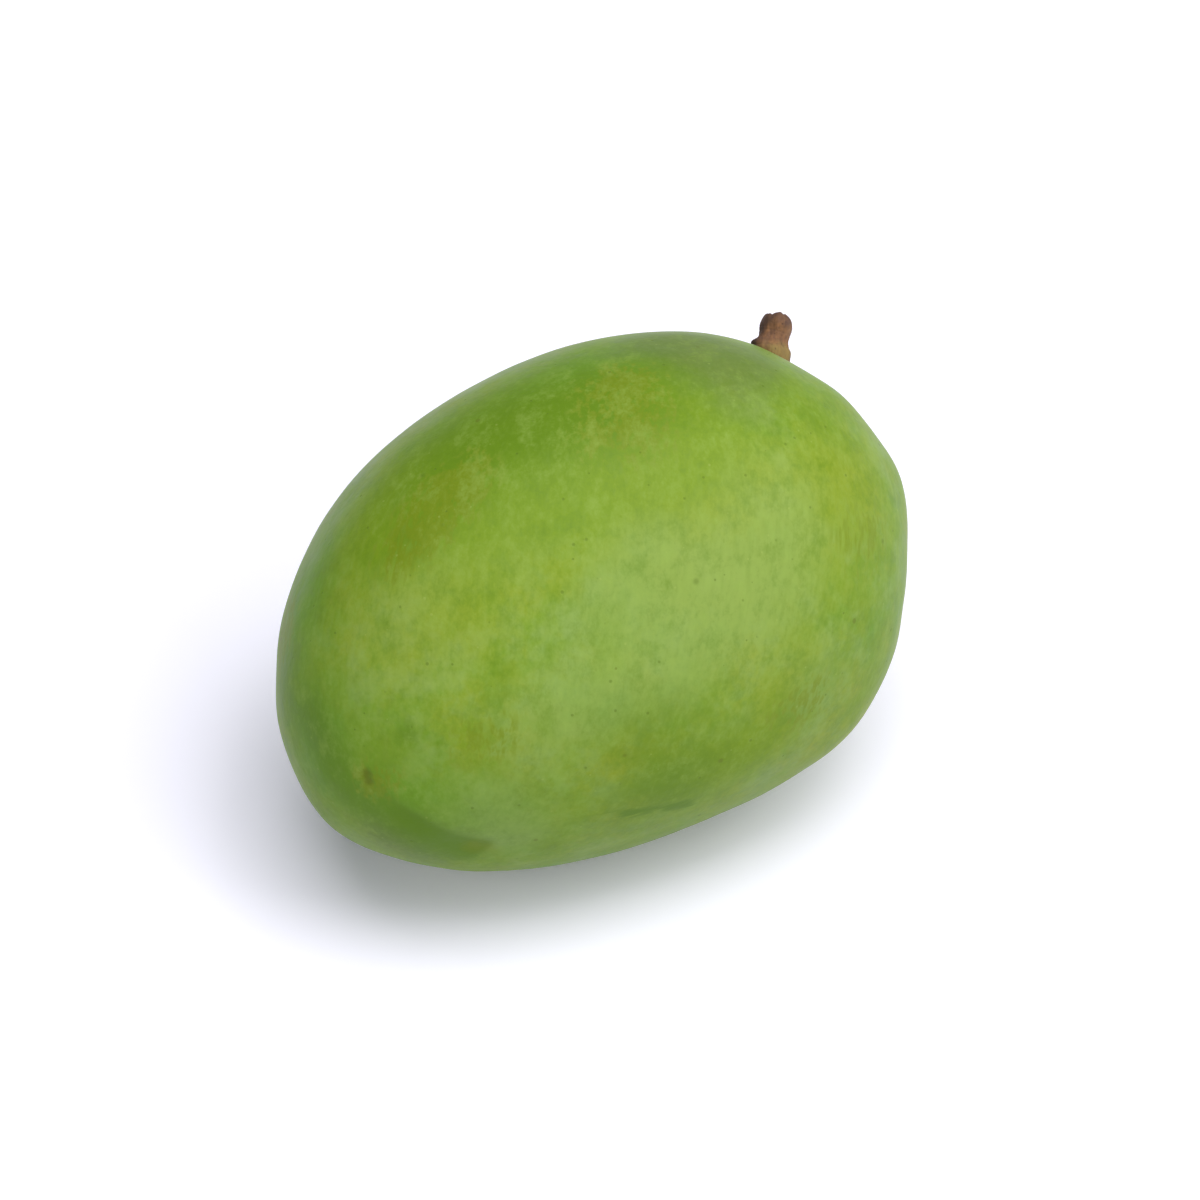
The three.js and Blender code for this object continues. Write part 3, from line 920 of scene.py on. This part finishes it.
class MANGO_OT_stalk(Operator):
    """Build the stub of the stalk"""

    bl_idname = "mango.stalk"
    bl_label = "Stalk stub"

    def execute(self, context):
        form, fruit = context.scene.stub_form, context.scene.fruit_form
        aim = Vector(STUB_AIM).normalized()
        turn = Vector((0, 1, 0)).rotation_difference(aim).to_matrix()
        foot = self.foot(fruit, aim)
        points, values = self.surface(form)
        placed = points @ np.array(turn).T + foot
        stub = closed_surface("stalk_stub", placed, values)
        stub.data.materials.append(bark_material(context.scene.bark_finish, tuple(foot), turn.to_euler()))
        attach(stub, "root")
        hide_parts(STUB_NODE)
        return {"FINISHED"}

    @staticmethod
    def foot(fruit, aim):
        """Middle of the stub's foot: the main form's point in the stem's direction, less the seat."""
        d, _, _ = rings_about_stem(fruit, *SOLID_MESH)
        placed, _ = rested(fruit, d, np.zeros(d.shape[:-1]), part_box(FRUIT_NODE))
        return placed[0, 0] - STUB_SEAT * MM * np.array(aim)

    @staticmethod
    def surface(form):
        """Points of the stub standing on its foot along +y, and the values its bark reads.

        The outline's radius and height are carried round the axis at each angle. The radius is multiplied by
        1 + free * knobs * sin(2 angle + height), with free growing from 0 at the skin to 1 half way up. It takes
        on ridges, a sum of cosines of the angle that wander with the height; ring scars, humps at fixed heights;
        and the bract, a hump in angle and height. The axis bows by a hump at the neck and leans the other way
        at the head. The rim rises and falls with the angle.
        """
        radius, height = spline(STUB_OUTLINE, form.rings + 1).T
        radius, height = np.clip(radius, 0, None)[:, None], height[:, None]
        radius[0] = radius[-1] = 0
        share_up = np.linspace(0, 1, form.rings + 1)[:, None]
        turn = np.linspace(0, 2 * pi, form.sides, endpoint=False)[None]
        free = smooth(height, STUB_SEAT, STUB_TOP / 2)
        knob = 1 + free * STUB_KNOBS * np.sin(2 * turn + height)
        wander = 0.6 * np.sin(0.9 * height + 1) + 0.35 * np.sin(2.3 * height)
        ridges = (0.5 * np.cos(7 * turn + wander) + 0.3 * np.cos(12 * turn - 1.7 * wander + 2)
                  + 0.2 * np.cos(19 * turn + 2.4 * wander + 1))
        bark = smooth(height, 0.8, 1.8) * smooth(share_up, 0.9, 0.72)
        rings = sum(depth * hump(height, at + 0.25 * np.sin(turn + phase), wide)
                    for at, depth, wide, phase in RING_SCARS)
        bract = hump(turn, BRACT_TURN, 0.6) * hump(height, BRACT_HEIGHT, 0.65)
        radius = radius * knob + bark * (form.ridge * ridges - form.scars * rings) / MM + form.bract / MM * bract
        rim = smooth(share_up, 0.6, 0.74)
        jag = 0.5 * np.sin(3 * turn + 1) + 0.3 * np.sin(7 * turn + 2) + 0.2 * np.sin(13 * turn)
        height = height + rim * form.rim / MM * jag * smooth(radius, 0.3, 1.4)
        bow = STUB_BOW * hump(height, 4, 1.2) + STUB_LEAN * smooth(height, 3.5, 6.5)
        points = np.stack([radius * np.sin(turn) + bow, height, radius * np.cos(turn)], axis=-1) * MM
        values = {
            # painted shade: darker in the grooves between the ridges and in the ring scars
            "crease": np.clip(-ridges * bark * 0.6 + rings * bark * 0.5, 0, 1),
            # darker towards the top, and painted shade down the head's side away from the lamps, by the bract
            "head": np.clip(0.8 * smooth(height, 4.9, 7.8)
                            + 0.8 * smooth(height, 2.6, 3.6) * hump(turn, BRACT_TURN, 0.7), 0, 1),
            # the dry foot, painted paler on the side towards the lamps
            "pale": smooth(height, 5.2, 2.2) * (0.65 + 0.35 * np.cos(turn - LIT_SIDE_TURN)),
            # the broken end, and a painted sheen on the head's side towards the lamps
            "pith": np.maximum(smooth(share_up, 0.8, 0.9),
                               0.7 * hump(turn, LIT_SIDE_TURN, 0.5) * hump(height, 6, 1.3)),
            "bract": np.clip(1.6 * bract, 0, 1),
        }
        return points, values


class MANGO_OT_stage(Operator):
    """Lay the floor and set up the lights and the camera"""

    bl_idname = "mango.stage"
    bl_label = "Studio"

    def execute(self, context):
        studio = context.scene.studio
        self.floor(studio)
        middle = Vector(np.mean(CAD_BOX, axis=0))
        for name, (turn, height) in SOFT_BOXES.items():
            self.soft_box(studio, name, toward(studio.azimuth + radians(turn), radians(height)), middle)
        self.surroundings(context, studio)
        self.camera(context, studio)
        context.scene.view_settings.view_transform = "Standard"
        return {"FINISHED"}

    @staticmethod
    def floor(studio):
        """Round floor at z = 0: rings of points whose radius grows as the square of their number."""
        sides, rings = 96, 24
        around = np.linspace(0, 2 * pi, sides, endpoint=False)
        radius = studio.floor_radius * (np.arange(1, rings + 1) / rings) ** 2
        edge = np.stack([np.cos(around), np.sin(around), np.zeros(sides)], axis=-1)
        points = np.concatenate([np.zeros((1, 3)), (radius[:, None, None] * edge).reshape(-1, 3)])
        quads, fan = ring_faces(rings, sides)
        mesh = bpy.data.meshes.new("floor")
        mesh.from_pydata(points.tolist(), [], fan.tolist() + quads.tolist())
        mesh.materials.append(floor_material(studio))
        floor = new_object("floor", mesh)

    @staticmethod
    def soft_box(studio, name, towards, middle):
        """Square soft light that faces the middle of the object from one direction."""
        light = bpy.data.lights.new(name, "AREA")
        light.energy, light.size = getattr(studio, name), studio.box_size
        look_back(new_object(name, light), middle, towards, studio.box_distance)

    @staticmethod
    def surroundings(context, studio):
        """A plain backdrop, as seen and as mirrored, and a weaker, even light from all round."""
        world = bpy.data.worlds.new("Pale surroundings")
        world.use_nodes = True
        tree = world.node_tree
        background = tree.nodes["Background"]
        wiring = Wiring(tree)
        rays = wiring.add("ShaderNodeLightPath").outputs
        lit, mirrored = rays["Is Diffuse Ray"], rays["Is Glossy Ray"]
        seen = wiring.blend(lit, opaque(studio.backdrop), opaque(studio.sky))
        strength = wiring.math("ADD", wiring.scale(lit, studio.sky_strength - 1.0, 1.0),
                               wiring.scale(mirrored, studio.mirrored - 1.0))
        tree.links.new(seen, background.inputs["Color"])
        tree.links.new(strength, background.inputs["Strength"])
        context.scene.world = world

    @staticmethod
    def camera(context, studio):
        """Camera at the given angles from the middle of the fruit."""
        towards = toward(studio.azimuth, studio.elevation)
        data = bpy.data.cameras.new("camera")
        data.lens, data.sensor_width = studio.lens, 36
        data.clip_start, data.clip_end = 0.01, 100
        context.scene.camera = new_object("camera", data)
        look_back(context.scene.camera, Vector(FRUIT_MIDDLE) * MM, towards, studio.distance)


class MANGO_PT_pieces(Panel):
    """Lists the pieces and their settings"""

    bl_label = "Green mango"
    bl_idname = "MANGO_PT_pieces"
    bl_space_type = "VIEW_3D"
    bl_region_type = "UI"
    bl_category = "Mango"

    def draw(self, context):
        for operator, groups in PIECES:
            box = self.layout.box()
            box.operator(operator.bl_idname)
            for group in groups:
                settings = getattr(context.scene, group)
                for name in settings.bl_rna.properties.keys():
                    if name not in ("rna_type", "name"):
                        box.prop(settings, name)


SETTINGS = {
    "fruit_form": FruitForm, "skin_finish": SkinFinish, "stub_form": StubForm, "bark_finish": BarkFinish,
    "studio": Studio,
}
PIECES = [
    (MANGO_OT_skin, ["fruit_form", "skin_finish"]),
    (MANGO_OT_stalk, ["stub_form", "bark_finish"]),
    (MANGO_OT_stage, ["studio"]),
]
CLASSES = [*SETTINGS.values(), MANGO_OT_skin, MANGO_OT_stalk, MANGO_OT_stage, MANGO_PT_pieces]


def register():
    for cls in CLASSES:
        bpy.utils.register_class(cls)
    for name, group in SETTINGS.items():
        setattr(bpy.types.Scene, name, PointerProperty(type=group))


def unregister():
    for name in SETTINGS:
        delattr(bpy.types.Scene, name)
    for cls in reversed(CLASSES):
        bpy.utils.unregister_class(cls)


def main():
    """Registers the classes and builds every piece."""
    register()
    bpy.ops.mango.skin()
    bpy.ops.mango.stalk()
    bpy.ops.mango.stage()


if __name__ == "__main__":
    main()
